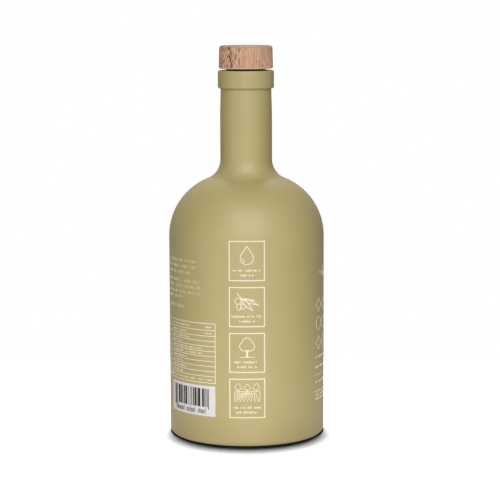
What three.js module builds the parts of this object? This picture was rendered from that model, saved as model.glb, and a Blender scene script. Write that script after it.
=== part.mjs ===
// A half-litre olive oil bottle of painted glass, with a wooden T-stopper.
// Millimetres, +Z up. The origin is the centre of the base, on the surface it stands on.
// The printed side that the photograph shows faces -Y.
// Everything is turned about Z. The glass is opaque and shut, so its body is solid.

import * as THREE from 'three';

// Body
const BODY_RADIUS = 41;
const HEEL_RADIUS = 2.5;
const BEARING_OUTER_RADIUS = BODY_RADIUS - HEEL_RADIUS;
const BEARING_INNER_RADIUS = 33;
const PUSH_UP_HEIGHT = 2.4;

// Shoulder: a round dome that a hollow curve joins to the neck
const DOME_RADIUS = 32.6;
const DOME_CENTRE_Z = 105.3;
const NECK_RADIUS = 13.65;
const NECK_CURVE_RADIUS = 10.2;

// Neck and finish
const NECK_TOP_RADIUS = 13.4;
const NECK_EASE_HEIGHT = 14;
const RING_RADIUS = 14.75;
const RING_BOTTOM_Z = 183.3;
const RING_TOP_Z = 192.4;
const RING_EDGE_RADIUS = 0.9;
const RING_CREASE_RADIUS = 0.6;

// Mouth
const FIT_GAP = 0.3;
const SHANK_RADIUS = 10;
const MOUTH_RADIUS = SHANK_RADIUS + FIT_GAP;
const MOUTH_LIP_RADIUS = 1.1;

// Stopper
const STOPPER_GAP = 0.75;
const HEAD_HEIGHT = 12.2;
const HEAD_BOTTOM_RADIUS = 14.25;
const HEAD_TOP_RADIUS = 14;
const HEAD_TOP_EDGE_RADIUS = 1.5;
const HEAD_BOTTOM_EDGE_RADIUS = 0.5;
const HEAD_SOCKET_DEPTH = 1.5;
const SHANK_DEPTH_IN_NECK = 19;
const SHANK_TIP_CHAMFER = 1.5;

// Roundness
const SIDES = 64;
const HEEL_STEPS = 4;
const PUSH_UP_STEPS = 5;
const DOME_STEPS = 14;
const NECK_CURVE_STEPS = 8;
const NECK_EASE_STEPS = 3;
const EDGE_STEPS = 3;

const HEAD_BOTTOM_Z = RING_TOP_Z + STOPPER_GAP;
const HEAD_TOP_Z = HEAD_BOTTOM_Z + HEAD_HEIGHT;
const SHANK_BOTTOM_Z = RING_TOP_Z - SHANK_DEPTH_IN_NECK;
const MOUTH_FLOOR_Z = SHANK_BOTTOM_Z - FIT_GAP;

const radians = (degrees) => (degrees * Math.PI) / 180;

// Points of a profile are (distance from the axis, height).
// An arc runs from one angle to another, in degrees, with 0 pointing outwards and 90 up.
function arc(centreRadius, centreZ, radius, startAngle, endAngle, steps) {
  const points = [];
  for (let step = 0; step <= steps; step += 1) {
    const angle = radians(startAngle + ((endAngle - startAngle) * step) / steps);
    const x = centreRadius + radius * Math.cos(angle);
    const z = centreZ + radius * Math.sin(angle);
    points.push(new THREE.Vector2(x, z));
  }
  return points;
}

// A profile is written outside and upwards first, from the axis back to the axis.
function turned(name, profile, material) {
  const geometry = new THREE.LatheGeometry(profile, SIDES);
  geometry.rotateX(Math.PI / 2);
  const mesh = new THREE.Mesh(geometry, material);
  mesh.name = name;
  return mesh;
}

// The shallow hollow under the base: part of a large sphere, from its crown out to the bearing ring.
function pushUp() {
  const halfWidth = BEARING_INNER_RADIUS;
  const sphereRadius = (halfWidth ** 2 + PUSH_UP_HEIGHT ** 2) / (2 * PUSH_UP_HEIGHT);
  const rimAngle = THREE.MathUtils.radToDeg(Math.asin(halfWidth / sphereRadius));
  return arc(0, PUSH_UP_HEIGHT - sphereRadius, sphereRadius, 90, 90 - rimAngle, PUSH_UP_STEPS);
}

// The heel, the straight side, the dome, and the hollow curve up to the neck.
function bodyAndShoulder() {
  const domeCentre = BODY_RADIUS - DOME_RADIUS;
  const curveCentre = NECK_RADIUS + NECK_CURVE_RADIUS;
  const across = curveCentre - domeCentre;
  const rise = Math.sqrt((DOME_RADIUS + NECK_CURVE_RADIUS) ** 2 - across ** 2);
  const meetAngle = THREE.MathUtils.radToDeg(Math.atan2(rise, across));
  const curveZ = DOME_CENTRE_Z + rise;
  return [
    ...arc(BEARING_OUTER_RADIUS, HEEL_RADIUS, HEEL_RADIUS, -90, 0, HEEL_STEPS),
    ...arc(domeCentre, DOME_CENTRE_Z, DOME_RADIUS, 0, meetAngle, DOME_STEPS),
    ...arc(curveCentre, curveZ, NECK_CURVE_RADIUS, 180 + meetAngle, 180, NECK_CURVE_STEPS).slice(1),
  ];
}

// The neck draws in slightly below the ring.
function neckTop() {
  const easeTop = RING_BOTTOM_Z - RING_CREASE_RADIUS;
  const points = [];
  for (let step = 0; step <= NECK_EASE_STEPS; step += 1) {
    const share = step / NECK_EASE_STEPS;
    const drawnIn = THREE.MathUtils.smoothstep(share, 0, 1);
    const radius = THREE.MathUtils.lerp(NECK_RADIUS, NECK_TOP_RADIUS, drawnIn);
    points.push(new THREE.Vector2(radius, easeTop - NECK_EASE_HEIGHT * (1 - share)));
  }
  return points;
}

// The crease under the ring, the ring, the lip and the blind mouth that holds the stopper's shank.
function ringAndMouth() {
  const edgeCentre = RING_RADIUS - RING_EDGE_RADIUS;
  const creaseCentre = NECK_TOP_RADIUS + RING_CREASE_RADIUS;
  return [
    ...arc(creaseCentre, RING_BOTTOM_Z - RING_CREASE_RADIUS, RING_CREASE_RADIUS, 180, 90, EDGE_STEPS)
      .slice(1, -1),
    ...arc(edgeCentre, RING_BOTTOM_Z + RING_EDGE_RADIUS, RING_EDGE_RADIUS, -90, 0, EDGE_STEPS),
    ...arc(edgeCentre, RING_TOP_Z - RING_EDGE_RADIUS, RING_EDGE_RADIUS, 0, 90, EDGE_STEPS),
    ...arc(MOUTH_RADIUS + MOUTH_LIP_RADIUS, RING_TOP_Z - MOUTH_LIP_RADIUS, MOUTH_LIP_RADIUS, 90, 180, EDGE_STEPS),
    new THREE.Vector2(MOUTH_RADIUS, MOUTH_FLOOR_Z),
    new THREE.Vector2(0, MOUTH_FLOOR_Z),
  ];
}

function makeBottle() {
  const profile = [
    ...pushUp(),
    ...bodyAndShoulder(),
    ...neckTop(),
    ...ringAndMouth(),
  ];
  return turned('bottle', profile, paintedGlass());
}

// The dark polymer plug, seated in the head's socket and reaching down the mouth.
function makeStopperShank() {
  const top = HEAD_BOTTOM_Z + HEAD_SOCKET_DEPTH - FIT_GAP;
  const profile = [
    new THREE.Vector2(0, SHANK_BOTTOM_Z),
    new THREE.Vector2(SHANK_RADIUS - SHANK_TIP_CHAMFER, SHANK_BOTTOM_Z),
    new THREE.Vector2(SHANK_RADIUS, SHANK_BOTTOM_Z + SHANK_TIP_CHAMFER),
    new THREE.Vector2(SHANK_RADIUS, top),
    new THREE.Vector2(0, top),
  ];
  return turned('stopper_shank', profile, blackPolymer());
}

// The wooden head tapers a little towards its flat top and has a socket for the shank underneath.
function makeStopperHead() {
  const socketTop = HEAD_BOTTOM_Z + HEAD_SOCKET_DEPTH;
  const lowerEdge = arc(
    HEAD_BOTTOM_RADIUS - HEAD_BOTTOM_EDGE_RADIUS,
    HEAD_BOTTOM_Z + HEAD_BOTTOM_EDGE_RADIUS,
    HEAD_BOTTOM_EDGE_RADIUS,
    -90,
    0,
    EDGE_STEPS,
  );
  const upperEdge = arc(
    HEAD_TOP_RADIUS - HEAD_TOP_EDGE_RADIUS,
    HEAD_TOP_Z - HEAD_TOP_EDGE_RADIUS,
    HEAD_TOP_EDGE_RADIUS,
    0,
    90,
    EDGE_STEPS + 2,
  );
  const profile = [
    new THREE.Vector2(0, socketTop),
    new THREE.Vector2(MOUTH_RADIUS, socketTop),
    new THREE.Vector2(MOUTH_RADIUS, HEAD_BOTTOM_Z),
    ...lowerEdge,
    ...upperEdge,
    new THREE.Vector2(0, HEAD_TOP_Z),
  ];
  return turned('stopper_head', profile, beech());
}

// Matte khaki paint, fired on the glass
function paintedGlass() {
  return new THREE.MeshStandardMaterial({ color: 0xbeb282, roughness: 0.55, metalness: 0 });
}

function blackPolymer() {
  return new THREE.MeshStandardMaterial({ color: 0x14110e, roughness: 0.6, metalness: 0 });
}

function beech() {
  return new THREE.MeshStandardMaterial({ color: 0xc49a7d, roughness: 0.7, metalness: 0 });
}

const oilBottle = new THREE.Group();
oilBottle.add(makeBottle(), makeStopperShank(), makeStopperHead());

export default oilBottle;
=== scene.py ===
# The looks of a half-litre olive oil bottle: painted glass, screen-printed in cream and closed by a
# wooden T-stopper. Metres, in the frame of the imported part: +Z up, with the pictograms facing -Y.

import math
import random

import bmesh
import bpy
from mathutils import Matrix, Vector


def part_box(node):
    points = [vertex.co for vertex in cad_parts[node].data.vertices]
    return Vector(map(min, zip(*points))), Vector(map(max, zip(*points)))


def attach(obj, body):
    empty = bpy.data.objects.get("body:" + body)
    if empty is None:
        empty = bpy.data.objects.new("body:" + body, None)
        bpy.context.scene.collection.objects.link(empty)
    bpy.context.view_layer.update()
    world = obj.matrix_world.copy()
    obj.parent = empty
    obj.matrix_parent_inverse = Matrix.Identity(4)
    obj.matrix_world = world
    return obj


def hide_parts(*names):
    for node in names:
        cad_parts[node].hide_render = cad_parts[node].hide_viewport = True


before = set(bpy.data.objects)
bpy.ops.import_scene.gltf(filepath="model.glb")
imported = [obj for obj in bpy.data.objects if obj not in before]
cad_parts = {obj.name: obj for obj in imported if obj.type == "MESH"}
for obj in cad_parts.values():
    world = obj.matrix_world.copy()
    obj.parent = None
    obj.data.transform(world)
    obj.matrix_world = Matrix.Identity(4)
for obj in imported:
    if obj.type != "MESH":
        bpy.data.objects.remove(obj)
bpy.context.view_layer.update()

MM = 0.001

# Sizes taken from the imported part
BOTTLE_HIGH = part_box("bottle")[1]
HEAD_LOW, HEAD_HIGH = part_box("stopper_head")
SHANK_LOW, SHANK_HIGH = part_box("stopper_shank")
BODY_RADIUS = BOTTLE_HIGH.x
RING_TOP = BOTTLE_HIGH.z
HEAD_RADIUS = HEAD_HIGH.x
SHANK_RADIUS = SHANK_HIGH.x

# The bottle's outline
HEEL_RADIUS = 2.5 * MM
BEARING_INNER_RADIUS = 33 * MM
PUSH_UP_HEIGHT = 2.4 * MM
DOME_RADIUS = 32.6 * MM
DOME_CENTRE_Z = 105.3 * MM
NECK_RADIUS = 13.65 * MM
NECK_CURVE_RADIUS = 11.0 * MM
NECK_TOP_RADIUS = 13.35 * MM
NECK_EASE_HEIGHT = 14 * MM
RING_RADIUS = 14.75 * MM
RING_BOTTOM = 183.0 * MM
RING_EDGE_RADIUS = 0.9 * MM
RING_CREASE_RADIUS = 0.4 * MM
FIT_GAP = 0.3 * MM
MOUTH_RADIUS = SHANK_RADIUS + FIT_GAP
MOUTH_LIP_RADIUS = 1.1 * MM
MOUTH_FLOOR = SHANK_LOW.z - FIT_GAP

# The stopper's outline
HEAD_TOP_RADIUS = 14 * MM
HEAD_TOP_EDGE_RADIUS = 1.5 * MM
HEAD_BOTTOM_EDGE_RADIUS = 0.8 * MM
HEAD_LIFT = 0.15 * MM
HEAD_SOCKET_DEPTH = 1.5 * MM
SHANK_TIP_CHAMFER = 1.5 * MM
SHANK_EDGE_RADIUS = 0.3 * MM
COLLAR_RADIUS = 10.22 * MM
COLLAR_BOTTOM = RING_TOP + 0.08 * MM

# Fineness of the turned surfaces
GLASS_SIDES = 224
HEAD_SIDES = 160
SHANK_SIDES = 96
ARC_STEP = math.radians(3)
SHARP_ANGLE = math.radians(32)

# The ink stands proud of the glass and reaches a little into it, so that no gap shows. The top ink lies
# on the patch. What is printed at the back rises by BACK_SLANT for each unit of the way round.
INK_HEIGHT = 0.06 * MM
BACK_INK_HEIGHT = 0.035 * MM
TOP_INK_HEIGHT = 0.11 * MM
INK_DEPTH = 0.04 * MM
PRINT_STEP = 1.4 * MM
BACK_SLANT = 0.016

# The photograph's camera, aimed a little down at the bottle
CAMERA_DISTANCE = 973 * MM
CAMERA_HEIGHT = 228.6 * MM
CAMERA_OFFSET = 1.84 * MM
CAMERA_PITCH = math.radians(7.689)
CAMERA_ROLL = math.radians(0.19)
CAMERA_LENS = 133.05
CAMERA_SENSOR = 36


def linear(red, green, blue):
    """An sRGB colour given in 0 to 255, as the linear values that shaders take."""
    def one(value):
        share = value / 255
        return share / 12.92 if share <= 0.04045 else ((share + 0.055) / 1.055) ** 2.4

    return (one(red), one(green), one(blue), 1.0)


# Turned pieces


def arc(centre_radius, centre_z, radius, start_degrees, end_degrees):
    """Points of an arc as (distance from the axis, height). Angle 0 points outwards and 90 up."""
    start, end = math.radians(start_degrees), math.radians(end_degrees)
    steps = max(3, math.ceil(abs(end - start) / ARC_STEP))
    points = []
    for step in range(steps + 1):
        angle = start + (end - start) * step / steps
        points.append((centre_radius + radius * math.cos(angle), centre_z + radius * math.sin(angle)))
    return points


def push_up():
    """The shallow hollow under the base, from its crown out to the bearing ring."""
    sphere = (BEARING_INNER_RADIUS**2 + PUSH_UP_HEIGHT**2) / (2 * PUSH_UP_HEIGHT)
    rim = math.asin(BEARING_INNER_RADIUS / sphere)
    steps = 24
    points = []
    for step in range(steps + 1):
        angle = rim * step / steps
        points.append((sphere * math.sin(angle), PUSH_UP_HEIGHT - sphere * (1 - math.cos(angle))))
    return points


def body_and_shoulder():
    """The heel, the straight side, the domed shoulder and the hollow curve at the neck's foot."""
    dome_centre = BODY_RADIUS - DOME_RADIUS
    curve_centre = NECK_RADIUS + NECK_CURVE_RADIUS
    across = curve_centre - dome_centre
    rise = math.sqrt((DOME_RADIUS + NECK_CURVE_RADIUS) ** 2 - across**2)
    meet = math.degrees(math.atan2(rise, across))
    return [
        *arc(BODY_RADIUS - HEEL_RADIUS, HEEL_RADIUS, HEEL_RADIUS, -90, 0),
        *arc(dome_centre, DOME_CENTRE_Z, DOME_RADIUS, 0, meet),
        *arc(curve_centre, DOME_CENTRE_Z + rise, NECK_CURVE_RADIUS, 180 + meet, 180)[1:],
    ]


def neck_top():
    """The neck draws in slightly below the ring."""
    ease_top = RING_BOTTOM - RING_CREASE_RADIUS
    steps = 10
    points = []
    for step in range(steps + 1):
        share = step / steps
        drawn_in = share * share * (3 - 2 * share)
        radius = NECK_RADIUS + (NECK_TOP_RADIUS - NECK_RADIUS) * drawn_in
        points.append((radius, ease_top - NECK_EASE_HEIGHT * (1 - share)))
    return points


def ring_and_mouth():
    """The collar ring with the crease under it, and the mouth down to its floor."""
    edge_centre = RING_RADIUS - RING_EDGE_RADIUS
    crease_centre = NECK_TOP_RADIUS + RING_CREASE_RADIUS
    lip_centre = MOUTH_RADIUS + MOUTH_LIP_RADIUS
    return [
        *arc(crease_centre, RING_BOTTOM - RING_CREASE_RADIUS, RING_CREASE_RADIUS, 180, 90)[1:],
        *arc(edge_centre, RING_BOTTOM + RING_EDGE_RADIUS, RING_EDGE_RADIUS, -90, 0)[1:],
        *arc(edge_centre, RING_TOP - RING_EDGE_RADIUS, RING_EDGE_RADIUS, 0, 90),
        *arc(lip_centre, RING_TOP - MOUTH_LIP_RADIUS, MOUTH_LIP_RADIUS, 90, 180),
        (MOUTH_RADIUS, MOUTH_FLOOR),
        (0, MOUTH_FLOOR),
    ]


def bottle_outline():
    return [*push_up(), *body_and_shoulder(), *neck_top(), *ring_and_mouth()]


def head_outline():
    """The wooden head, from its socket round the outside to its top."""
    bottom, top = HEAD_LOW.z + HEAD_LIFT, HEAD_HIGH.z
    socket_top = HEAD_LOW.z + HEAD_SOCKET_DEPTH
    lower, upper = HEAD_BOTTOM_EDGE_RADIUS, HEAD_TOP_EDGE_RADIUS
    return [
        (0, socket_top),
        (MOUTH_RADIUS, socket_top),
        (MOUTH_RADIUS, bottom),
        *arc(HEAD_RADIUS - lower, bottom + lower, lower, -90, 0),
        *arc(HEAD_TOP_RADIUS - upper, top - upper, upper, 0, 90),
        (0, top),
    ]


def shank_outline():
    """The shank, which widens into a collar between the ring and the head."""
    bottom, top = SHANK_LOW.z, SHANK_HIGH.z
    edge = SHANK_EDGE_RADIUS
    return [
        (0, bottom),
        (SHANK_RADIUS - SHANK_TIP_CHAMFER, bottom),
        (SHANK_RADIUS, bottom + SHANK_TIP_CHAMFER),
        (SHANK_RADIUS, COLLAR_BOTTOM),
        (COLLAR_RADIUS, COLLAR_BOTTOM),
        *arc(COLLAR_RADIUS - edge, top - edge, edge, 0, 90),
        (0, top),
    ]


def new_object(name, vertices, faces):
    """A mesh object whose faces all look outwards."""
    mesh = bpy.data.meshes.new(name)
    mesh.from_pydata(vertices, [], faces)
    made = bmesh.new()
    made.from_mesh(mesh)
    bmesh.ops.recalc_face_normals(made, faces=made.faces)
    made.to_mesh(mesh)
    made.free()
    piece = bpy.data.objects.new(name, mesh)
    bpy.context.scene.collection.objects.link(piece)
    return piece


def turned(name, outline, sides):
    """A closed piece turned about Z. Its outline runs from the axis back to the axis."""
    first, *rings, last = outline
    vertices = [(0, 0, first[1])]
    for radius, height in rings:
        for side in range(sides):
            angle = 2 * math.pi * side / sides
            vertices.append((radius * math.sin(angle), -radius * math.cos(angle), height))
    vertices.append((0, 0, last[1]))
    faces = []
    for side in range(sides):
        after = (side + 1) % sides
        faces.append((0, 1 + side, 1 + after))
        for ring in range(len(rings) - 1):
            low, high = 1 + ring * sides, 1 + (ring + 1) * sides
            faces.append((low + side, high + side, high + after, low + after))
        top = 1 + (len(rings) - 1) * sides
        faces.append((top + side, len(vertices) - 1, top + after))
    piece = new_object(name, vertices, faces)
    piece.data.shade_smooth()
    piece.data.set_sharp_from_angle(angle=SHARP_ANGLE)
    return piece


# Ink. Shapes are drawn flat, as (distance round the body from the front, height), and are then laid
# round the body as thin closed slabs.


class Ink:
    """Shapes of one ink, gathered into one piece."""

    def __init__(self, height=INK_HEIGHT, slant=0.0):
        self.height = height
        self.slant = slant
        self.vertices = []
        self.faces = []

    def laid(self, across, height, lift):
        """A flat point, laid on the body at the given height over the glass."""
        angle = across / BODY_RADIUS
        radius = BODY_RADIUS + lift
        return (radius * math.sin(angle), -radius * math.cos(angle), height + self.slant * across)

    def grid(self, rows, closed=False):
        """A slab over a grid of points: rows of equal length, joined end to end if closed."""
        start, columns = len(self.vertices), len(rows[0])
        for lift in (self.height, -INK_DEPTH):
            for row in rows:
                self.vertices += [self.laid(across, height, lift) for across, height in row]
        under = len(rows) * columns
        spans = len(rows) if closed else len(rows) - 1

        def corner(row, column):
            return start + (row % len(rows)) * columns + column

        for row in range(spans):
            for column in range(columns - 1):
                face = (
                    corner(row, column),
                    corner(row, column + 1),
                    corner(row + 1, column + 1),
                    corner(row + 1, column),
                )
                self.faces.append(face)
                self.faces.append(tuple(vertex + under for vertex in reversed(face)))
            for column in (0, columns - 1):
                a, b = corner(row, column), corner(row + 1, column)
                self.faces.append((a, b, b + under, a + under))
        if not closed:
            for row in (0, spans):
                for column in range(columns - 1):
                    a, b = corner(row, column), corner(row, column + 1)
                    self.faces.append((a, b, b + under, a + under))

    def stroke(self, points, width, closed=False):
        """A line of even width along the points, with mitred corners."""
        self.grid(offset_rails(refined(points, closed), width / 2, closed), closed)

    def block(self, left, bottom, right, top):
        """A filled rectangle."""
        columns = max(1, math.ceil((right - left) / PRINT_STEP))
        rows = []
        for column in range(columns + 1):
            across = left + (right - left) * column / columns
            rows.append([(across, bottom), (across, top)])
        self.grid(rows)

    def piece(self, name):
        return new_object(name, self.vertices, self.faces)


def refined(points, closed):
    """The same line with no step longer than PRINT_STEP, so that it follows the round body."""
    ends = [*points, points[0]] if closed else points
    fine = []
    for (x0, z0), (x1, z1) in zip(ends, ends[1:]):
        steps = max(1, math.ceil(abs(x1 - x0) / PRINT_STEP))
        for step in range(steps):
            share = step / steps
            fine.append((x0 + (x1 - x0) * share, z0 + (z1 - z0) * share))
    return fine if closed else [*fine, ends[-1]]


def offset_rails(points, reach, closed):
    """For each point of a line, the points to its right and left at the given reach."""
    rows = []
    count = len(points)
    for index, point in enumerate(points):
        here = Vector(point)
        before = Vector(points[index - 1]) if closed or index else None
        after = Vector(points[(index + 1) % count]) if closed or index < count - 1 else None
        into = (here - before).normalized() if before else (after - here).normalized()
        out = (after - here).normalized() if after else into
        along = (into + out).normalized()
        side = Vector((along.y, -along.x))
        mitre = reach / max(0.5, side.dot(Vector((out.y, -out.x))))
        rows.append([tuple(here + side * mitre), tuple(here - side * mitre)])
    return rows


def round_line(centre, across, up, start_degrees=0, end_degrees=360, steps=28):
    """Points round an ellipse. A whole turn leaves its last point out, ready for a closed stroke."""
    whole = abs(end_degrees - start_degrees) >= 360
    points = []
    for step in range(steps if whole else steps + 1):
        angle = math.radians(start_degrees + (end_degrees - start_degrees) * step / steps)
        points.append((centre[0] + across * math.cos(angle), centre[1] + up * math.sin(angle)))
    return points


LEAF_POWER = 0.85


def leaf_line(base, tip, fatness, steps=12):
    """A leaf's closed outline, fatness wide for each unit of length. The power puts its widest part
    nearer its base."""
    base, tip = Vector(base), Vector(tip)
    along = tip - base
    side = Vector((along.y, -along.x))
    edges = []
    for sign in (1, -1):
        edge = []
        for step in range(steps):
            share = step / steps
            bulge = math.sin(math.pi * share**LEAF_POWER) * fatness / 2
            edge.append(tuple(base + along * share + side * bulge * sign))
        edges.append(edge)
    return [*edges[0], tuple(tip), *reversed(edges[1][1:])]


# The pictogram column at the front

COLUMN_CENTRE = 0.19 * MM
FRAME_TOP = 107.15 * MM
FRAME_PITCH = 23.8 * MM
FRAME_HEIGHT = 20.2 * MM
FRAME_HALF_WIDTH = 9.04 * MM
FRAME_LINE = 0.57 * MM
ICON_LINE = 0.4 * MM
FINE_LINE = 0.3 * MM


def draw_frame(ink, top):
    left, right = COLUMN_CENTRE - FRAME_HALF_WIDTH, COLUMN_CENTRE + FRAME_HALF_WIDTH
    bottom = top - FRAME_HEIGHT
    ink.stroke([(left, bottom), (right, bottom), (right, top), (left, top)], FRAME_LINE, closed=True)


DROP_BELLY = 3.35 * MM
DROP_HEIGHT = 9.5 * MM
DROP_SHOULDER_DEGREES = 32
GLEAM_SHARE = 0.66
GLEAM_DEGREES = (180, 240)


def draw_drop(ink, centre, bottom):
    """An oil drop with a gleam inside its lower left. Straight sides run from the tip to its belly."""
    middle, tip = (centre, bottom + DROP_BELLY), (centre, bottom + DROP_HEIGHT)
    shoulder = DROP_SHOULDER_DEGREES
    right = round_line(middle, DROP_BELLY, DROP_BELLY, shoulder, -90, steps=20)
    left = round_line(middle, DROP_BELLY, DROP_BELLY, -90, -180 - shoulder, steps=20)
    ink.stroke([tip, *right, *left[1:]], ICON_LINE, closed=True)
    reach = DROP_BELLY * GLEAM_SHARE
    ink.stroke(round_line(middle, reach, reach, *GLEAM_DEGREES, steps=8), ICON_LINE)


# The sprig, in millimetres from the middle of its foot: the stem's points, the leaves' root, each leaf's
# tip and fatness, each fruit's middle and half sizes, and the two ends of each stalk
SPRIG_STEM = ((-5.1, 9.6), (-3.7, 7.7), (-2.2, 6.4))
SPRIG_ROOT = (-3.0, 6.7)
SPRIG_LEAVES = (((4.1, 5.6), 0.11), ((6.3, 3.1), 0.12), ((3.1, 0.4), 0.2))
SPRIG_FRUITS = (((-4.6, 5.4), (1.6, 1.6)), ((-4.1, 2.4), (1.2, 1.6)), ((-2.0, 2.6), (1.2, 1.2)))
SPRIG_STALKS = (((-3.3, 7.2), (-3.1, 4.0)), ((-2.7, 6.2), (-2.0, 3.8)))


def draw_sprig(ink, centre, bottom):
    """An olive twig: a stem with narrow leaves to the right and three fruits hanging at the left."""
    def at(point):
        return (centre + point[0] * MM, bottom + point[1] * MM)

    ink.stroke([at(point) for point in SPRIG_STEM], ICON_LINE)
    for tip, fatness in SPRIG_LEAVES:
        ink.stroke(leaf_line(at(SPRIG_ROOT), at(tip), fatness), ICON_LINE, closed=True)
    for middle, (across, up) in SPRIG_FRUITS:
        ink.stroke(round_line(at(middle), across * MM, up * MM, steps=22), ICON_LINE, closed=True)
    for ends in SPRIG_STALKS:
        ink.stroke([at(end) for end in ends], FINE_LINE)


LOBE_SWELL = 0.1
CROWN_FOOT_POWER = 0.82


def crown_line(centre, bottom, width, height, lobes, taper):
    """A leafy crown: an egg shape, widest near its foot, whose edge swells into lobes. Below its
    middle, a power under 1 makes it fuller than an ellipse."""
    points = []
    steps = max(24, lobes * 8)
    for step in range(steps):
        share = step / steps
        angle = 2 * math.pi * share - math.pi / 2
        swell = 1 + LOBE_SWELL * abs(math.sin(lobes * math.pi * share))
        narrowing = 1 - taper * (1 + math.sin(angle)) / 2
        power = CROWN_FOOT_POWER if math.sin(angle) < 0 else 1
        reach = math.copysign(abs(math.cos(angle)) ** power, math.cos(angle))
        x = reach * swell * narrowing * width / 2
        z = (math.sin(angle) * swell + 1) * height / 2
        points.append((centre + x, bottom + z))
    return points


GROUND_HALF_WIDTH = 3.9 * MM
TRUNK_START = 0.2 * MM
TRUNK_HEIGHT = 3.5 * MM
TRUNK_HALF_WIDTH = 0.5 * MM
TRUNK_FOOT_FLARE = 0.35 * MM
TRUNK_TOP_FLARE = 0.65 * MM
CROWN_START = 3.6 * MM
CROWN_WIDTH = 9.4 * MM
CROWN_HEIGHT = 6.5 * MM
CROWN_LOBES = 7
CROWN_TAPER = 0.62


def draw_trunk(ink, centre, bottom):
    """A trunk that widens from its waist, more sharply at its foot than at its top."""
    rows = []
    steps = 6
    for step in range(steps + 1):
        share = step / steps
        from_waist = abs(2 * share - 1)
        flare = TRUNK_FOOT_FLARE * from_waist**4 if share < 0.5 else TRUNK_TOP_FLARE * from_waist**2
        half = TRUNK_HALF_WIDTH + flare
        height = bottom + TRUNK_START + share * TRUNK_HEIGHT
        rows.append([(centre - half, height), (centre + half, height)])
    ink.grid(rows)


def draw_tree(ink, centre, bottom):
    """A tree with an outlined crown, a flared trunk and a line of ground."""
    ink.stroke([(centre - GROUND_HALF_WIDTH, bottom), (centre + GROUND_HALF_WIDTH, bottom)], FINE_LINE)
    draw_trunk(ink, centre, bottom)
    crown = crown_line(centre, bottom + CROWN_START, CROWN_WIDTH, CROWN_HEIGHT, CROWN_LOBES, CROWN_TAPER)
    ink.stroke(crown, ICON_LINE, closed=True)


FIELD_HALF_WIDTH = 6.5 * MM
FIELD_HEIGHT = 5.4 * MM
FIELD_CORNER_GAP = 0.3 * MM
FURROW_LINE = 0.32 * MM
FURROW_GAP = 0.45 * MM
FURROW_STEP = 2.0 * MM
FOOT_FURROWS = 7
SIDE_FURROW_SHARES = (0.8, 0.6, 0.4, 0.2)
# The point where the furrows would meet, and the least share of the way from there at which one starts
FURROW_MEET_ACROSS = 3.5 * MM
FURROW_MEET_ABOVE = 1.5 * MM
FURROW_LEAST_START = 0.3


def draw_furrows(ink, centre, bottom):
    """Furrows that run from a point over the skyline to the field's left side and its foot. Each one
    shows from just below the skyline."""
    left, skyline = centre - FIELD_HALF_WIDTH + FURROW_GAP, bottom + FIELD_HEIGHT
    meet = Vector((centre + FURROW_MEET_ACROSS, skyline + FURROW_MEET_ABOVE))
    ends = [Vector((left, bottom + share * FIELD_HEIGHT)) for share in SIDE_FURROW_SHARES]
    ends += [Vector((left + step * FURROW_STEP, bottom)) for step in range(FOOT_FURROWS)]
    for end in ends:
        way = end - meet
        start = meet + way * max((meet.y - skyline + FURROW_GAP) / -way.y, FURROW_LEAST_START)
        ink.stroke([tuple(start), tuple(end)], FURROW_LINE)


SMALL_TREE_PITCH = 4.7 * MM
SMALL_TRUNK_START = 0.2 * MM
SMALL_TRUNK_TOP = 1.0 * MM
SMALL_TRUNK_LINE = 0.5 * MM
SMALL_CROWN_START = 0.9 * MM
SMALL_CROWN_WIDTH = 4.2 * MM
SMALL_CROWN_HEIGHTS = (3.2 * MM, 2.8 * MM, 3.2 * MM)
SMALL_CROWN_LINE = 0.26 * MM
SMALL_CROWN_LOBES = 3
SMALL_CROWN_TAPER = 0.72


def draw_small_trees(ink, centre, ground):
    for step, height in zip((-1, 0, 1), SMALL_CROWN_HEIGHTS):
        middle, foot = centre + step * SMALL_TREE_PITCH, ground + SMALL_CROWN_START
        trunk = [(middle, ground + SMALL_TRUNK_START), (middle, ground + SMALL_TRUNK_TOP)]
        ink.stroke(trunk, SMALL_TRUNK_LINE)
        crown = crown_line(middle, foot, SMALL_CROWN_WIDTH, height, SMALL_CROWN_LOBES, SMALL_CROWN_TAPER)
        ink.stroke(crown, SMALL_CROWN_LINE, closed=True)


def draw_field(ink, centre, bottom):
    """A furrowed field under a line of small trees."""
    half, skyline = FIELD_HALF_WIDTH, bottom + FIELD_HEIGHT
    ink.stroke([(centre - half, skyline), (centre + half, skyline)], FINE_LINE)
    for edge in (centre - half, centre + half):
        ink.stroke([(edge, skyline - FIELD_CORNER_GAP), (edge, bottom)], FINE_LINE)
    draw_furrows(ink, centre, bottom)
    draw_small_trees(ink, centre, skyline)


# Rows of small plain marks: bars, pairs of bars, squares and dashes

MARK_KINDS = ("bar", "pair", "pair", "square", "square", "square", "dash")
MARK_SHARE = 0.74
LOW_MARK_SHARE = 0.72
GROUP_SIZES = (3, 8)
MARK_PITCH = 0.92 * MM
LARGE_MARK_HEIGHT = 1.3 * MM
LARGE_MARK_LINE = 0.3 * MM
SMALL_MARK_PITCH = 0.82 * MM
SMALL_MARK_HEIGHT = 1.05 * MM
SMALL_MARK_LINE = 0.2 * MM
TEXT_MARK_PITCH = 0.98 * MM
TEXT_MARK_HEIGHT = 1.6 * MM
TEXT_MARK_LINE = 0.07 * MM


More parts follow.
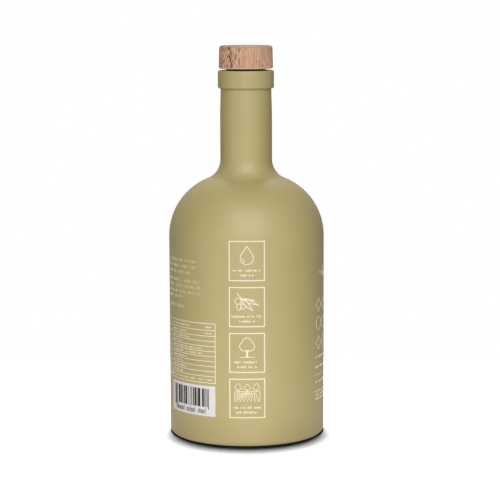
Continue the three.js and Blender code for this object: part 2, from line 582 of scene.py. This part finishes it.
def draw_mark(ink, kind, left, base, width, height, line):
    """One mark. Bars, and the right one of a pair, have the full height, and the rest is lower."""
    right, low = left + width, height * LOW_MARK_SHARE
    middle, half = (left + right) / 2, line / 2
    if kind == "bar":
        ink.block(middle - half, base, middle + half, base + height)
    elif kind == "pair":
        ink.block(left, base, left + line, base + low)
        ink.block(right - line, base, right, base + height)
    elif kind == "square":
        corners = [
            (left + half, base + half),
            (right - half, base + half),
            (right - half, base + low - half),
            (left + half, base + low - half),
        ]
        ink.stroke(corners, line, closed=True)
    else:
        ink.block(left, base + low / 2 - half, right, base + low / 2 + half)


def draw_marks(ink, left, right, base, height, pitch, line, dice):
    """A row of marks in groups of chance sizes, from left to right."""
    across, group = left, dice.randint(*GROUP_SIZES)
    while across + pitch * MARK_SHARE <= right:
        if group == 0:
            group = dice.randint(*GROUP_SIZES)
        else:
            draw_mark(ink, dice.choice(MARK_KINDS), across, base, pitch * MARK_SHARE, height, line)
            group -= 1
        across += pitch


def large_marks(ink, left, right, base, dice):
    draw_marks(ink, left, right, base, LARGE_MARK_HEIGHT, MARK_PITCH, LARGE_MARK_LINE, dice)


def small_marks(ink, left, right, base, dice):
    draw_marks(ink, left, right, base, SMALL_MARK_HEIGHT, SMALL_MARK_PITCH, SMALL_MARK_LINE, dice)


def faint_marks(ink, left, right, base, dice):
    draw_marks(ink, left, right, base, TEXT_MARK_HEIGHT, TEXT_MARK_PITCH, TEXT_MARK_LINE, dice)


PICTOGRAMS = (draw_drop, draw_sprig, draw_tree, draw_field)
# How far the foot of each picture, and of the two rows of marks under it, is below the frame's top
PICTOGRAM_DROPS = (11.9 * MM, 12.4 * MM, 12.4 * MM, 11.8 * MM)
CAPTION_DROPS = (15.5 * MM, 18.0 * MM)
CAPTION_HALF_WIDTHS = (
    (7.7 * MM, 3.6 * MM),
    (8.2 * MM, 4.1 * MM),
    (6.7 * MM, 5.1 * MM),
    (7.3 * MM, 5.7 * MM),
)
CAPTION_SEED = 11


def make_pictograms():
    ink, dice = Ink(), random.Random(CAPTION_SEED)
    for index, draw in enumerate(PICTOGRAMS):
        top = FRAME_TOP - index * FRAME_PITCH
        draw_frame(ink, top)
        draw(ink, COLUMN_CENTRE, top - PICTOGRAM_DROPS[index])
        for half, drop in zip(CAPTION_HALF_WIDTHS[index], CAPTION_DROPS):
            large_marks(ink, COLUMN_CENTRE - half, COLUMN_CENTRE + half, top - drop, dice)
    return ink.piece("print_pictograms")


# The back panel: groups of faint rows over a ruled table

PANEL_LEFT, PANEL_RIGHT = -56.0 * MM, -16.7 * MM
BACK_SEED = 23
# Each faint row's right end and the height of its middle there, in millimetres
FAINT_ROWS = (
    (-28.2, 95.6), (-28.1, 92.5), (-30.0, 89.4),
    (-25.6, 85.1), (-25.6, 82.1), (-25.8, 79.1), (-38.1, 76.1),
    (-36.0, 71.4),
)

TABLE_TOP = 64.15 * MM
TABLE_HEAD = 3.46 * MM
TABLE_SECOND = 3.04 * MM
TABLE_ROW = 2.636 * MM
TABLE_ROWS = 8
TABLE_FOOT = 3.47 * MM
TABLE_LINE = 0.36 * MM
TABLE_BORDER = 0.42 * MM
TABLE_LEFT, TABLE_RIGHT = PANEL_LEFT + TABLE_BORDER / 2, PANEL_RIGHT - TABLE_BORDER / 2
TABLE_TEXT_LEFT = -49.5 * MM
# Where the marks of each table row end, in millimetres
TABLE_TEXT_ENDS = (-32.6, -35.0, -33.2, -37.5, -24.5, -24.0, -35.5, -38.5, -35.0, -38.5)
VALUE_LEFT, VALUE_RIGHT = -22.6 * MM, -18.0 * MM
VALUE_ROWS = 2


def draw_faint_rows(ink, dice):
    for end, height in FAINT_ROWS:
        base = height * MM - TEXT_MARK_HEIGHT / 2 - BACK_SLANT * end * MM
        faint_marks(ink, PANEL_LEFT, end * MM, base, dice)


def table_levels():
    """The heights of the table's lines, from its top to its foot."""
    levels = [TABLE_TOP]
    for drop in (TABLE_HEAD, TABLE_SECOND, *[TABLE_ROW] * TABLE_ROWS, TABLE_FOOT):
        levels.append(levels[-1] - drop)
    return levels


def draw_table_lines(ink, levels):
    top, *between, foot = levels
    corners = [(PANEL_LEFT, foot), (PANEL_RIGHT, foot), (PANEL_RIGHT, top), (PANEL_LEFT, top)]
    ink.stroke(corners, TABLE_BORDER, closed=True)
    for level in between:
        ink.stroke([(TABLE_LEFT, level), (TABLE_RIGHT, level)], TABLE_LINE)


def draw_table_marks(ink, levels, dice):
    for row, end in enumerate(TABLE_TEXT_ENDS):
        low = levels[row + 1]
        base = low + (levels[row] - low - SMALL_MARK_HEIGHT) / 2
        small_marks(ink, TABLE_TEXT_LEFT, end * MM, base, dice)
        if row < VALUE_ROWS:
            small_marks(ink, VALUE_LEFT, VALUE_RIGHT, base, dice)
    base = levels[-1] + (TABLE_FOOT - SMALL_MARK_HEIGHT) / 2
    small_marks(ink, TABLE_LEFT + SMALL_MARK_PITCH, TABLE_RIGHT - SMALL_MARK_PITCH, base, dice)


def make_back():
    ink, dice = Ink(BACK_INK_HEIGHT, BACK_SLANT), random.Random(BACK_SEED)
    levels = table_levels()
    draw_faint_rows(ink, dice)
    draw_table_lines(ink, levels)
    draw_table_marks(ink, levels, dice)
    return ink.piece("print_back")


# The bar code patch under the back panel

PATCH_LEFT, PATCH_RIGHT = -51.0 * MM, -16.75 * MM
PATCH_BOTTOM, PATCH_TOP = 15.5 * MM, 31.5 * MM
BARS_LEFT, BARS_RIGHT = -47.5 * MM, -20.1 * MM
BARS_BOTTOM, BARS_TOP = 20.3 * MM, 30.0 * MM
BAR_UNIT = 0.38 * MM
BAR_WIDTHS = (1, 1, 2, 3, 4)
GAP_WIDTHS = (1, 2, 3)
GUARD_BARS = 2
GUARD_REACH = 4 * BAR_UNIT
GUARD_BOTTOM = 19.0 * MM
BAR_MARK_INSET = 1.5 * MM
BAR_MARK_BASE = 16.9 * MM
BAR_MARK_HEIGHT = 2.5 * MM
BAR_MARK_PITCH = 1.7 * MM
BAR_MARK_LINE = 0.36 * MM
BAR_SEED = 5


def make_patch():
    ink = Ink(slant=BACK_SLANT)
    ink.block(PATCH_LEFT, PATCH_BOTTOM, PATCH_RIGHT, PATCH_TOP)
    return ink.piece("print_patch")


def make_bars():
    """Bars and gaps of chance widths, which spell nothing, over a row of plain marks. The first two
    bars and those at the right end reach lower."""
    ink, dice = Ink(TOP_INK_HEIGHT, BACK_SLANT), random.Random(BAR_SEED)
    across, count = BARS_LEFT, 0
    while across < BARS_RIGHT - BAR_UNIT:
        width = BAR_UNIT * dice.choice(BAR_WIDTHS)
        guard = count < GUARD_BARS or across > BARS_RIGHT - GUARD_REACH
        bottom = GUARD_BOTTOM if guard else BARS_BOTTOM
        ink.block(across, bottom, min(across + width, BARS_RIGHT), BARS_TOP)
        across += width + BAR_UNIT * dice.choice(GAP_WIDTHS)
        count += 1
    left, right = BARS_LEFT + BAR_MARK_INSET, BARS_RIGHT - BAR_MARK_INSET
    draw_marks(ink, left, right, BAR_MARK_BASE, BAR_MARK_HEIGHT, BAR_MARK_PITCH, BAR_MARK_LINE, dice)
    return ink.piece("print_bars")


# The front panel, to the right of the pictograms: a twig over rows of plain outlines and marks

FRONT_CENTRE = 64.4 * MM
FRONT_HALF_WIDTH = 20.4 * MM
FRONT_LEFT, FRONT_RIGHT = FRONT_CENTRE - FRONT_HALF_WIDTH, FRONT_CENTRE + FRONT_HALF_WIDTH
FRONT_LINE = 0.42 * MM
FRONT_SEED = 31

TWIG_BASE = 87.6 * MM
TWIG_START, TWIG_END = 2.1 * MM, 11 * MM
TWIG_FRUIT_HALF_WIDTH = 1.7 * MM
TWIG_FRUIT_HALF_HEIGHT = 2.1 * MM
END_LEAF_START, END_LEAF_TIP = 11.3 * MM, 15.6 * MM
END_LEAF_FATNESS = 0.42
PAIR_STARTS = (4.0 * MM, 7.4 * MM)
PAIR_REACH = 3.2 * MM
PAIR_RISE, PAIR_TIP_RISE = 0.35 * MM, 2.6 * MM
PAIR_FATNESS = 0.34

# The base of each row of outlines and the corners of its shapes: 4 for lozenges, many for ovals
OUTLINE_ROWS = ((66.8 * MM, 4), (57.0 * MM, 32), (46.8 * MM, 4))
OUTLINE_HEIGHT = 7.0 * MM
OUTLINE_COUNT = 5
OUTLINE_SHARE = 0.4

LARGE_ROW_BASES = (42.3 * MM, 37.0 * MM, 29.0 * MM)
RULE_HEIGHT = 33.3 * MM
SMALL_ROW_BASES = (24.0 * MM, 22.0 * MM, 20.0 * MM)


def draw_twig(ink, centre, base):
    """A level olive twig with paired leaves and a fruit at its middle."""
    ink.stroke([(centre - TWIG_END, base), (centre - TWIG_START, base)], FINE_LINE)
    ink.stroke([(centre + TWIG_START, base), (centre + TWIG_END, base)], FINE_LINE)
    fruit = round_line((centre, base), TWIG_FRUIT_HALF_WIDTH, TWIG_FRUIT_HALF_HEIGHT, steps=24)
    ink.stroke(fruit, FRONT_LINE, closed=True)
    for side in (-1, 1):
        root, tip = (centre + side * END_LEAF_START, base), (centre + side * END_LEAF_TIP, base)
        ink.stroke(leaf_line(root, tip, END_LEAF_FATNESS), FRONT_LINE, closed=True)
        for start in PAIR_STARTS:
            for up in (-1, 1):
                root = (centre + side * start, base + up * PAIR_RISE)
                tip = (centre + side * (start + PAIR_REACH), base + up * PAIR_TIP_RISE)
                ink.stroke(leaf_line(root, tip, PAIR_FATNESS), FINE_LINE, closed=True)


def draw_outlines(ink, base, corners):
    """A row of equal upright outlines."""
    pitch = 2 * FRONT_HALF_WIDTH / OUTLINE_COUNT
    for index in range(OUTLINE_COUNT):
        middle = (FRONT_LEFT + pitch * (index + 0.5), base + OUTLINE_HEIGHT / 2)
        outline = round_line(middle, pitch * OUTLINE_SHARE, OUTLINE_HEIGHT / 2, steps=corners)
        ink.stroke(outline, FRONT_LINE, closed=True)


def make_front():
    ink, dice = Ink(), random.Random(FRONT_SEED)
    draw_twig(ink, FRONT_CENTRE, TWIG_BASE)
    for base, corners in OUTLINE_ROWS:
        draw_outlines(ink, base, corners)
    for base in LARGE_ROW_BASES:
        large_marks(ink, FRONT_LEFT, FRONT_RIGHT, base, dice)
    ink.stroke([(FRONT_LEFT, RULE_HEIGHT), (FRONT_RIGHT, RULE_HEIGHT)], TABLE_LINE)
    for base in SMALL_ROW_BASES:
        small_marks(ink, FRONT_LEFT, FRONT_RIGHT, base, dice)
    return ink.piece("print_front")


# Materials. Noise scales are in cycles a metre, and the stops of a ramp are (position, grey or colour).


class Shader:
    """A node tree with one Principled shader, and short calls to add to it."""

    def __init__(self, name):
        self.material = bpy.data.materials.new(name)
        self.material.use_nodes = True
        self.tree = self.material.node_tree
        self.surface = self.tree.nodes["Principled BSDF"]
        self.place = self.node("ShaderNodeTexCoord").outputs["Object"]

    def node(self, kind, settings=(), **inputs):
        """A node with the given settings and inputs. An input's name takes _ for each space."""
        made = self.tree.nodes.new(kind)
        for name, value in dict(settings).items():
            setattr(made, name, value)
        for name, value in inputs.items():
            self.feed(made.inputs[name.replace("_", " ")], value)
        return made

    def feed(self, socket, value):
        if isinstance(value, bpy.types.NodeSocket):
            self.tree.links.new(value, socket)
        else:
            socket.default_value = value

    def set(self, **inputs):
        for name, value in inputs.items():
            self.feed(self.surface.inputs[name.replace("_", " ")], value)

    def mapped(self, place, settings=(), **inputs):
        """The place after a turn, a shift or a stretch."""
        return self.node("ShaderNodeMapping", settings, Vector=place, **inputs).outputs["Vector"]

    def noise(self, scale, detail=2.0, place=None):
        vector = place or self.place
        return self.node("ShaderNodeTexNoise", Vector=vector, Scale=scale, Detail=detail).outputs["Fac"]

    def ramp(self, factor, *stops):
        made = self.node("ShaderNodeValToRGB", Fac=factor)
        elements = made.color_ramp.elements
        while len(elements) < len(stops):
            elements.new(0.5)
        for element, (position, value) in zip(elements, stops):
            element.position = position
            element.color = value if isinstance(value, tuple) else (value, value, value, 1.0)
        return made.outputs["Color"]

    def mixed(self, factor, first, second, blend="MIX"):
        made = self.tree.nodes.new("ShaderNodeMix")
        made.data_type = "RGBA"
        made.blend_type = blend
        self.feed(made.inputs["Factor"], factor)
        self.feed(made.inputs["A"], first)
        self.feed(made.inputs["B"], second)
        return made.outputs["Result"]

    def share(self, value, low, high):
        """How far a value is from low (0) to high (1)."""
        made = self.node("ShaderNodeMapRange", Value=value, From_Min=low, From_Max=high)
        return made.outputs["Result"]

    def bump(self, height, strength, distance, below=None):
        made = self.node("ShaderNodeBump", Height=height, Strength=strength, Distance=distance)
        if below is not None:
            self.feed(made.inputs["Normal"], below)
        return made.outputs["Normal"]


def khaki_paint():
    """Matte khaki paint: nearly even, with a faint cloudiness and the fine skin of sprayed paint."""
    shader = Shader("khaki_paint")
    deep, light = linear(188, 173, 116), linear(192, 177, 121)
    cloud = shader.ramp(shader.noise(scale=45, detail=3), (0.3, deep), (0.7, light))
    grain = shader.ramp(shader.noise(scale=2600), (0.35, 0.97), (0.65, 1.0))
    gloss = shader.ramp(shader.noise(scale=700), (0.3, 0.47), (0.7, 0.52))
    skin = shader.bump(shader.noise(scale=900, detail=3), strength=0.12, distance=0.02 * MM)
    shader.set(Base_Color=shader.mixed(1.0, cloud, grain, blend="MULTIPLY"))
    shader.set(Roughness=gloss, Specular_IOR_Level=0.7, Normal=skin)
    return shader.material


def ink_material(name, light, dark):
    """Screen ink, a little uneven in cover, with a fine dry skin."""
    shader = Shader(name)
    cover = shader.ramp(shader.noise(scale=1500, detail=3), (0.3, dark), (0.6, light))
    gloss = shader.ramp(shader.noise(scale=800), (0.3, 0.5), (0.7, 0.62))
    skin = shader.bump(shader.noise(scale=2500), strength=0.1, distance=0.01 * MM)
    shader.set(Base_Color=cover, Roughness=gloss, Normal=skin)
    return shader.material


PITH_TURN = math.radians(-35)
PITH_DISTANCE = 46 * MM
RING_SPACING = 1.9 * MM
WAVE_PERIOD = 2 * math.pi / 20
FIBRE_SCALE = 1900
FIBRE_STRETCH = (1, 0.6, 0.045)
FLECK_SCALE = 2300
FLECK_STRETCH = (1, 1.2, 10)
FLECK_LEAN = math.radians(13)
FLECKED_SIDE, CLEAR_SIDE = -7 * MM, 2 * MM
# Each edge of the head changes from this far in, and fully from a third of that. The greying at the top
# is painted shade.
PALE_EDGE = 0.9 * MM
TOP_SHADE_EDGE = 1.3 * MM
EDGE_FULL_SHARE = 1 / 3


def growth_rings(shader, from_pith):
    """Rings of early, late and dense wood round a pith that lies outside the head, softly tinted."""
    rings = shader.node(
        "ShaderNodeTexWave",
        {"wave_type": "RINGS", "rings_direction": "Z", "wave_profile": "SAW"},
        Vector=from_pith,
        Scale=WAVE_PERIOD / RING_SPACING,
        Distortion=1.2,
        Detail=2.0,
    ).outputs["Fac"]
    early, late, dense = linear(219, 175, 143), linear(213, 168, 135), linear(198, 151, 118)
    growth = shader.ramp(rings, (0.0, early), (0.75, late), (1.0, dense))
    deep, light = linear(211, 166, 131), linear(225, 182, 151)
    tint = shader.ramp(shader.noise(scale=90), (0.3, deep), (0.7, light))
    return shader.mixed(0.5, growth, tint)


def brown_flecks(shader, side):
    """Where short leaning flecks lie, by the place from side to side: many at one side, few beyond."""
    leaning = shader.mapped(
        shader.place,
        {"vector_type": "TEXTURE"},
        Rotation=(0, FLECK_LEAN, 0),
        Scale=FLECK_STRETCH,
    )
    noise = shader.noise(FLECK_SCALE, detail=0.5, place=leaning)
    few = shader.ramp(noise, (0.67, 0.0), (0.73, 0.8))
    many = shader.ramp(noise, (0.58, 0.0), (0.62, 1.0))
    return shader.mixed(shader.share(side, CLEAR_SIDE, FLECKED_SIDE), few, many)


def pale_foot_and_top_shade(shader, wood, height):
    """The wood, paler in a band at its foot, and greyed over its top rim and top face as painted shade.
    """
    foot, top = HEAD_LOW.z + HEAD_LIFT, HEAD_HIGH.z
    pale = shader.share(height, foot + PALE_EDGE, foot + PALE_EDGE * EDGE_FULL_SHARE)
    wood = shader.mixed(pale, wood, linear(244, 206, 180))
    # Painted shade: the top rim and top are greyed towards a dull brown
    top_shade = shader.share(height, top - TOP_SHADE_EDGE, top - TOP_SHADE_EDGE * EDGE_FULL_SHARE)
    return shader.mixed(top_shade, wood, shader.mixed(0.6, wood, linear(176, 146, 124)))


def beech_wood():
    """Steamed beech with upright grain: growth rings, fine pores and short brown flecks."""
    shader = Shader("beech_wood")
    turn = (0, 0, -PITH_TURN)
    from_pith = shader.mapped(shader.place, Rotation=turn, Location=(0, PITH_DISTANCE, 0))
    upright = shader.mapped(from_pith, Scale=FIBRE_STRETCH)
    fibres = shader.noise(FIBRE_SCALE, detail=3, place=upright)
    deep, light = linear(181, 135, 103), linear(238, 197, 168)
    streaks = shader.ramp(fibres, (0.35, deep), (0.65, light))
    wood = shader.mixed(0.55, growth_rings(shader, from_pith), streaks)
    sides = shader.node("ShaderNodeSeparateXYZ", Vector=shader.place).outputs
    flecks = brown_flecks(shader, sides["X"])
    wood = shader.mixed(flecks, wood, linear(92, 49, 27))
    # A paler band at the foot, and painted shade over the top rim and top
    wood = pale_foot_and_top_shade(shader, wood, sides["Z"])
    grain = shader.bump(fibres, strength=0.35, distance=0.05 * MM)
    pits = shader.bump(flecks, strength=-0.3, distance=0.05 * MM, below=grain)
    gloss = shader.ramp(fibres, (0.3, 0.58), (0.7, 0.72))
    shader.set(Base_Color=wood, Diffuse_Roughness=0.3, Roughness=gloss, Normal=pits)
    return shader.material


def black_polymer():
    """Matte black moulded polymer with a fine sparked skin."""
    shader = Shader("black_polymer")
    tone = shader.ramp(shader.noise(scale=900), (0.3, linear(6, 4, 3)), (0.7, linear(13, 10, 8)))
    skin = shader.bump(shader.noise(scale=1400, detail=3), strength=0.2, distance=0.03 * MM)
    shader.set(Base_Color=tone, Roughness=0.6, Specular_IOR_Level=0.2, Normal=skin)
    return shader.material


# Stage. Lamps give the light that the floor would throw back, as far out as FLOOR_HALF.

FLOOR_HALF = 0.2
FLOOR_SHADE = 0.05
FLOOR_GLOW = 0.002
FLOOR_LAMP_PLACE = Vector((-0.015, 0.65, 6.0))
FLOOR_LAMP_WIDTH = 0.65
FLOOR_LAMP_LENGTH = 1.1
FLOOR_LAMP_POWER = 10000
BOUNCE_HEIGHT = 0.3 * MM
BOUNCE_GLOW = 1.81
SHADED_FRONT = 54 * MM
SHADED_SIDE = 43 * MM
HEEL_LIGHT_RADIUS = 43.5 * MM
HEEL_GLOW = 1.3
ROOM_STRENGTH = 0.05
LAMP_AIM = Vector((0, 0, 0.1))
LAMP_DISTANCE = 2.5
LOW_AIM = Vector((0, 0, 0.05))
WHITE = (1.0, 1.0, 1.0, 1.0)


def make_floor():
    """A plain floor that shows white. It throws no light on the bottle: lamps do that for it."""
    corners = [
        (-FLOOR_HALF, -FLOOR_HALF, 0),
        (FLOOR_HALF, -FLOOR_HALF, 0),
        (FLOOR_HALF, FLOOR_HALF, 0),
        (-FLOOR_HALF, FLOOR_HALF, 0),
    ]
    floor = new_object("floor", corners, [(0, 1, 2, 3)])
    shader = Shader("white_floor")
    shader.set(Base_Color=(FLOOR_SHADE, FLOOR_SHADE, FLOOR_SHADE, 1.0))
    shader.set(Roughness=1.0, Specular_IOR_Level=0.0)
    shader.set(Emission_Color=WHITE, Emission_Strength=FLOOR_GLOW)
    floor.data.materials.append(shader.material)
    floor.visible_diffuse = False
    floor.visible_glossy = False
    return floor


def softbox(name, place, aim, width, height, power, shape="RECTANGLE"):
    light = bpy.data.lights.new(name, "AREA")
    light.shape = shape
    light.size, light.size_y = width, height
    light.energy = power
    lamp = bpy.data.objects.new(name, light)
    bpy.context.scene.collection.objects.link(lamp)
    lamp.location = place
    lamp.rotation_euler = (Vector(aim) - Vector(place)).to_track_quat("-Z", "Y").to_euler()
    lamp.visible_camera = False
    return lamp


def make_floor_lamp(floor):
    """A lamp high overhead and behind. It lights the floor alone, so that the shadow of the bottle is a
    short soft one in front of its base."""
    place = FLOOR_LAMP_PLACE
    under = Vector((place.x, place.y, 0))
    size = (FLOOR_LAMP_WIDTH, FLOOR_LAMP_LENGTH)
    lamp = softbox("floor_lamp", place, under, *size, FLOOR_LAMP_POWER, shape="ELLIPSE")
    lit = bpy.data.collections.new("lit_by_the_floor_lamp")
    lit.objects.link(floor)
    lamp.light_linking.receiver_collection = lit


def around(azimuth, elevation):
    """A place round the bottle. Azimuth 0 is the camera's side and 90 is +X."""
    turn, rise = math.radians(azimuth), math.radians(elevation)
    level = math.cos(rise)
    way = Vector((math.sin(turn) * level, -math.cos(turn) * level, math.sin(rise)))
    return LAMP_AIM + way * LAMP_DISTANCE


def upward_lamp(name, x, y, width, length, power, shape="RECTANGLE"):
    """A lamp just over the floor that shines up."""
    place = Vector((x, y, BOUNCE_HEIGHT))
    lamp = softbox(name, place, place, width, length, power, shape)
    lamp.rotation_euler = (math.pi, 0, 0)
    return lamp


def make_bounce():
    """Lamps at floor level, facing up, for the light that the floor throws back. Strips leave out the
    floor close to the bottle, which the bottle shades, and a dimmer disc lights the heel."""
    front, side = FLOOR_HALF - SHADED_FRONT, FLOOR_HALF - SHADED_SIDE
    far, beside = (FLOOR_HALF + SHADED_SIDE) / 2, (SHADED_SIDE - SHADED_FRONT) / 2
    strips = {
        "bounce_front": (0, -(FLOOR_HALF + SHADED_FRONT) / 2, 2 * FLOOR_HALF, front),
        "bounce_back": (0, far, 2 * FLOOR_HALF, side),
        "bounce_left": (-far, beside, side, SHADED_FRONT + SHADED_SIDE),
        "bounce_right": (far, beside, side, SHADED_FRONT + SHADED_SIDE),
    }
    lamps = []
    for name, (x, y, width, length) in strips.items():
        lamps.append(upward_lamp(name, x, y, width, length, BOUNCE_GLOW * width * length))
    width = 2 * HEEL_LIGHT_RADIUS
    power = HEEL_GLOW * math.pi * width**2 / 4
    lamps.append(upward_lamp("bounce_heel", 0, 0, width, width, power, shape="DISK"))
    return lamps


def make_lights(floor):
    """Soft lamps that light all but the floor, and one for the floor alone."""
    make_floor_lamp(floor)
    lamps = [
        *make_bounce(),
        softbox("key", around(4, 33), LAMP_AIM, width=2.0, height=2.0, power=52.5),
        softbox("rim", around(180, 55), LAMP_AIM, width=1.0, height=1.0, power=21.9),
        softbox("backdrop", (-0.45, 1.5, 0.5), (-0.45, 0, 0.5), width=3.0, height=1.6, power=7.5),
        softbox("low_front", (0.03, -0.45, 0.04), (0, 0, 0.04), width=0.3, height=0.07, power=0.26),
        softbox("low_left", (-0.5, -0.45, 0.07), LOW_AIM, width=0.3, height=0.13, power=0.51),
        softbox("low_right", (0.5, -0.45, 0.07), LOW_AIM, width=0.3, height=0.13, power=0.22),
    ]
    rest = bpy.data.collections.new("all_but_the_floor")
    rest.objects.link(floor)
    rest.collection_objects[0].light_linking.link_state = "EXCLUDE"
    for lamp in lamps:
        lamp.light_linking.receiver_collection = rest


def make_world():
    """White for the camera. For light, a dim even room."""
    world = bpy.data.worlds.new("room")
    world.use_nodes = True
    tree = world.node_tree
    tree.nodes.clear()
    output = tree.nodes.new("ShaderNodeOutputWorld")
    mix = tree.nodes.new("ShaderNodeMixShader")
    rays = tree.nodes.new("ShaderNodeLightPath")
    room = tree.nodes.new("ShaderNodeBackground")
    white = tree.nodes.new("ShaderNodeBackground")
    room.inputs["Color"].default_value = WHITE
    room.inputs["Strength"].default_value = ROOM_STRENGTH
    white.inputs["Color"].default_value = WHITE
    tree.links.new(rays.outputs["Is Camera Ray"], mix.inputs["Fac"])
    tree.links.new(room.outputs["Background"], mix.inputs[1])
    tree.links.new(white.outputs["Background"], mix.inputs[2])
    tree.links.new(mix.outputs["Shader"], output.inputs["Surface"])
    bpy.context.scene.world = world


def make_camera():
    """The photograph's camera, from the values at the top."""
    data = bpy.data.cameras.new("camera")
    data.lens = CAMERA_LENS
    data.sensor_width = CAMERA_SENSOR
    camera = bpy.data.objects.new("camera", data)
    bpy.context.scene.collection.objects.link(camera)
    place = Matrix.Translation((CAMERA_OFFSET, -CAMERA_DISTANCE, CAMERA_HEIGHT))
    tilt = Matrix.Rotation(math.pi / 2 - CAMERA_PITCH, 4, "X")
    roll = Matrix.Rotation(-CAMERA_ROLL, 4, "Z")
    camera.matrix_world = place @ tilt @ roll
    bpy.context.scene.camera = camera


def dress(piece, material, slot, *stands_for):
    """Gives a piece its material and its body, and hides the CAD nodes that it stands for. The slot is
    not used.
    """
    piece.data.materials.append(material)
    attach(piece, "root")
    if stands_for:
        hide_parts(*stands_for)


make_camera()

dress(turned("glass", bottle_outline(), GLASS_SIDES), khaki_paint(), "painted_glass", "bottle")
dress(turned("head", head_outline(), HEAD_SIDES), beech_wood(), "head_wood", "stopper_head")
dress(turned("shank", shank_outline(), SHANK_SIDES), black_polymer(), "shank_polymer", "stopper_shank")

cream = ink_material("cream_ink", linear(248, 238, 215), linear(240, 229, 204))
dress(make_pictograms(), cream, "painted_glass")
dress(make_back(), cream, "painted_glass")
dress(make_front(), cream, "painted_glass")
white_ink = ink_material("white_ink", linear(236, 231, 227), linear(229, 224, 220))
dress(make_patch(), white_ink, "painted_glass")
dark_ink = ink_material("dark_ink", linear(36, 33, 31), linear(27, 25, 23))
dress(make_bars(), dark_ink, "painted_glass")

make_lights(make_floor())
make_world()
bpy.context.scene.view_settings.view_transform = "Standard"
